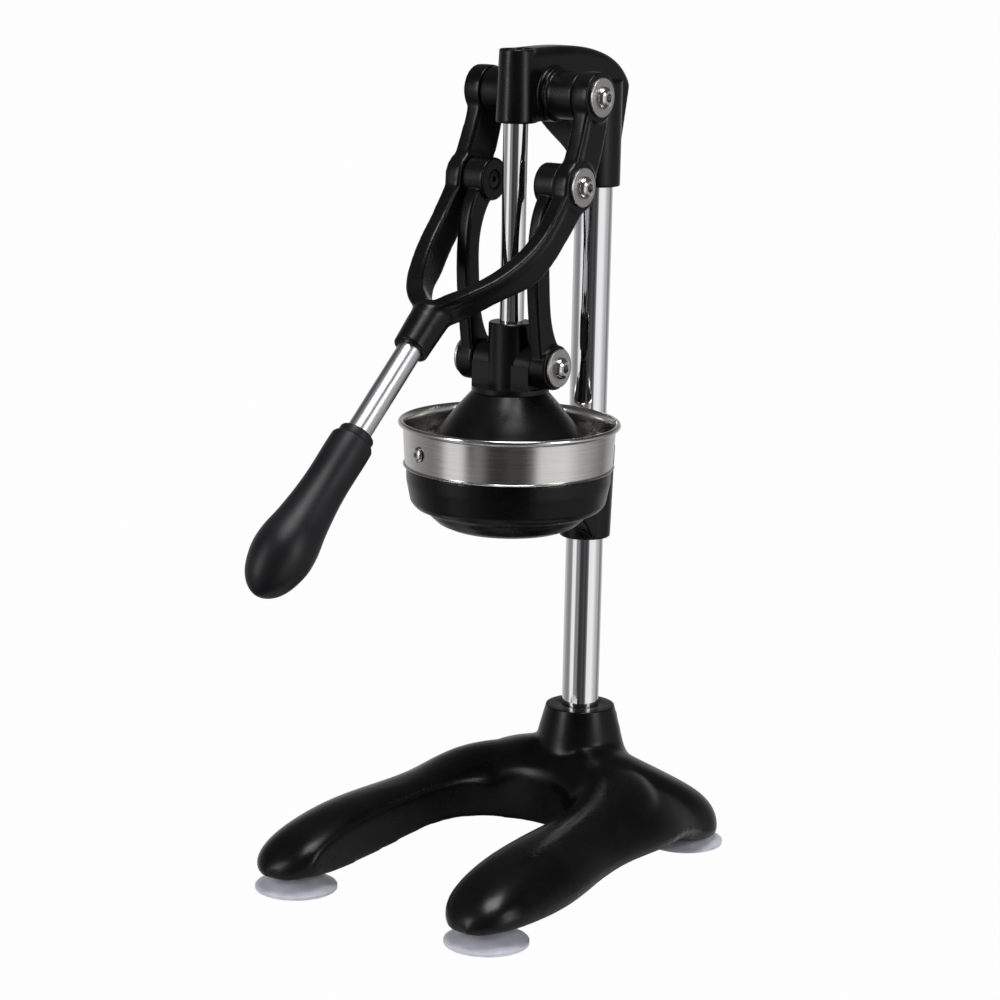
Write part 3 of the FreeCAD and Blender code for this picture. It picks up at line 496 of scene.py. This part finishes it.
# Turned and pressed pieces: node and how far its sharp edges are broken
for node, width in (("pivot_washers", 0.3 * MM), ("link_washers", 0.3 * MM), ("press_washers", 0.3 * MM),
                    ("pivot_bolts", 0.2 * MM), ("link_bolts", 0.2 * MM), ("press_bolts", 0.2 * MM),
                    ("bowl_stud", 0.2 * MM), ("base_clamp_bolt", 0.25 * MM), ("bowl_pan", 0.3 * MM),
                    ("press_cup", 0.8 * MM), ("grip_ring", 0.6 * MM)):
    stand_in(eased(node, width), node + "_eased", node)

# Bowl: a plain band under a rolled lip
LIP_BEAD = 1.35 * MM
BAND_FOOT_R = 51.2 * MM
BAND_TOP_R = 52.3 * MM
SHEET = 1.0 * MM


def bowl_outline():
    low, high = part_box("juice_bowl")
    lip_z = high.z - LIP_BEAD
    lip_middle_r = (high.x - low.x) / 2 - LIP_BEAD
    outside = [(BAND_FOOT_R, low.z), (BAND_TOP_R - 0.1 * MM, lip_z - 3.4 * MM),
               (BAND_TOP_R + 0.1 * MM, lip_z - 1.9 * MM)]
    inside = [(BAND_TOP_R - SHEET + 0.1 * MM, lip_z - 0.6 * MM), (BAND_TOP_R - SHEET, lip_z - 3.0 * MM),
              (BAND_FOOT_R - SHEET, low.z)]
    return outside + arc(lip_middle_r, lip_z, LIP_BEAD, -75, 150, 14) + inside


stand_in(spun(bowl_outline(), ROD_Y, 192), "bowl_band", "juice_bowl")

# Camera: it stands where the photograph was taken from. The picture is square.
YAW, PITCH, ROLL = math.radians(36.30), math.radians(12.36), math.radians(1.18)
CAMERA_PLACE = Vector((0.8152, ROD_Y - 1.1163, 0.4923))
FOCAL_PIXELS = 2868.7
PICTURE_PIXELS = 1000.0
SENSOR_WIDTH = 36.0


def make_camera():
    ahead = Vector((-math.sin(YAW) * math.cos(PITCH), math.cos(YAW) * math.cos(PITCH), -math.sin(PITCH)))
    level_right = Vector((math.cos(YAW), math.sin(YAW), 0.0))
    level_up = level_right.cross(ahead)
    right = level_right * math.cos(ROLL) + level_up * math.sin(ROLL)
    up = level_up * math.cos(ROLL) - level_right * math.sin(ROLL)
    camera = bpy.data.objects.new("camera", bpy.data.cameras.new("camera"))
    bpy.context.scene.collection.objects.link(camera)
    camera.data.sensor_width = SENSOR_WIDTH
    camera.data.lens = FOCAL_PIXELS * SENSOR_WIDTH / PICTURE_PIXELS
    camera.data.clip_start = 0.05
    camera.data.clip_end = 50.0
    turned = Matrix((right, up, -ahead)).transposed().to_4x4()
    camera.matrix_world = Matrix.Translation(CAMERA_PLACE) @ turned
    bpy.context.scene.camera = camera


make_camera()

# Studio: a white room behind, a dim room in front, and three soft boxes
LIGHTS_AIM = Vector((0.0, ROD_Y, 0.22))


def soft_box(name, turn, height, distance, width, tall, watts):
    """turn is degrees to the right of the camera's own side, seen from the press."""
    side = YAW + math.radians(turn)
    place = Vector((math.sin(side) * distance, ROD_Y - math.cos(side) * distance, height))
    lamp = bpy.data.lights.new(name, "AREA")
    lamp.shape = "RECTANGLE"
    lamp.size = width
    lamp.size_y = tall
    lamp.energy = watts
    box = bpy.data.objects.new(name, lamp)
    bpy.context.scene.collection.objects.link(box)
    box.rotation_mode = "QUATERNION"
    box.rotation_quaternion = (LIGHTS_AIM - place).to_track_quat("-Z", "Y")
    box.location = place


soft_box("box_left", turn=-58.0, height=0.75, distance=1.5, width=0.40, tall=1.0, watts=10.0)
soft_box("box_right", turn=54.0, height=0.75, distance=1.5, width=0.50, tall=1.0, watts=8.0)
soft_box("box_above", turn=10.0, height=1.75, distance=0.25, width=0.7, tall=0.7, watts=20.0)

# Brightness of the room by its turn from the camera's side, in degrees to the right
ROOM_BANDS = [(-180, 0.60), (-144, 0.55), (-119, 0.32), (-95, 0.22), (-81, 0.28), (-72, 0.85),
              (-54, 0.90), (-46, 0.22), (-32, 0.24), (-21, 0.04), (-5, 0.04), (2, 0.07), (16, 0.04),
              (27, 0.15), (34, 0.85), (66, 0.90), (86, 0.52), (108, 0.34), (126, 0.20), (144, 0.45),
              (180, 0.60)]
ROOM_STRENGTH = 1.15
DIM = (0.07, 0.07, 0.072, 1.0)
SEEN_WHITE = (0.985, 0.985, 0.99, 1.0)


def grey(level):
    return (level, level, level, 1.0)


def turn_from_camera_side(tree, x, y):
    """The turn as a part of a whole one, 0.5 at the camera's side and more to its right."""
    side_x, side_y = math.sin(YAW), -math.cos(YAW)
    forward = maths(tree, "ADD", maths(tree, "MULTIPLY", x, side_x), maths(tree, "MULTIPLY", y, side_y))
    sideways = maths(tree, "ADD", maths(tree, "MULTIPLY", x, -side_y), maths(tree, "MULTIPLY", y, side_x))
    turn = maths(tree, "ARCTAN2", sideways, forward)
    return maths(tree, "ADD", maths(tree, "MULTIPLY", turn, 0.5 / math.pi), 0.5)


def dimming(tree, z, start, end):
    """None at start and full at end, both being the upward part of a direction."""
    ramp = put(tree, "ShaderNodeMapRange", From_Min=start, From_Max=end, To_Min=0.0, To_Max=1.0)
    link(tree, z, ramp.inputs["Value"])
    return ramp.outputs[0]


def chosen_by_camera(tree, lit, seen):
    """Light from lit, and what the camera itself sees from seen."""
    choice = put(tree, "ShaderNodeMixShader")
    link(tree, put(tree, "ShaderNodeLightPath").outputs["Is Camera Ray"], choice.inputs[0])
    link(tree, lit.outputs[0], choice.inputs[1])
    link(tree, seen.outputs[0], choice.inputs[2])
    return choice.outputs[0]


def make_room():
    world = bpy.data.worlds.new("room")
    bpy.context.scene.world = world
    world.use_nodes = True
    tree = world.node_tree
    tree.nodes.clear()
    direction = put(tree, "ShaderNodeSeparateXYZ")
    link(tree, put(tree, "ShaderNodeTexCoord").outputs["Generated"], direction.inputs[0])
    x, y, z = direction.outputs
    bands = put(tree, "ShaderNodeValToRGB")
    elements = bands.color_ramp.elements
    elements[0].color = grey(ROOM_BANDS[0][1])
    elements[1].color = grey(ROOM_BANDS[-1][1])
    for degrees, level in ROOM_BANDS[1:-1]:
        elements.new(0.5 + degrees / 360.0).color = grey(level)
    link(tree, turn_from_camera_side(tree, x, y), bands.inputs[0])
    # the room is dim overhead and well below the table's height
    dim_part = maths(tree, "MAXIMUM", dimming(tree, z, 0.0, 0.4), dimming(tree, z, -0.38, -0.75))
    mixed = put(tree, "ShaderNodeMix", data_type="RGBA")
    link(tree, dim_part, mixed.inputs["Factor"])
    link(tree, bands.outputs[0], mixed.inputs[6])
    mixed.inputs[7].default_value = DIM
    room = put(tree, "ShaderNodeBackground", Strength=ROOM_STRENGTH)
    link(tree, mixed.outputs[2], room.inputs["Color"])
    white = put(tree, "ShaderNodeBackground", Strength=1.0)
    white.inputs["Color"].default_value = SEEN_WHITE
    link(tree, chosen_by_camera(tree, room, white), put(tree, "ShaderNodeOutputWorld").inputs[0])


make_room()

TABLE_R = 0.165
TABLE_DROP = 0.2 * MM


def make_table():
    """Small pale table. The camera sees it as plain white, like the room behind it."""
    bpy.ops.mesh.primitive_circle_add(vertices=96, radius=TABLE_R, fill_type="NGON",
                                      location=(0, 0, -TABLE_DROP))
    table = bpy.context.object
    table.name = "table"
    material = bpy.data.materials.new("table_white")
    material.use_nodes = True
    tree = material.node_tree
    shader = tree.nodes["Principled BSDF"]
    shader.inputs["Base Color"].default_value = grey(0.80)
    shader.inputs["Roughness"].default_value = 0.9
    shader.inputs["Specular IOR Level"].default_value = 0.1
    glow = put(tree, "ShaderNodeEmission", Strength=1.0)
    glow.inputs["Color"].default_value = SEEN_WHITE
    link(tree, chosen_by_camera(tree, shader, glow), tree.nodes["Material Output"].inputs[0])
    table.data.materials.append(material)


make_table()

bpy.context.scene.view_settings.view_transform = "Standard"
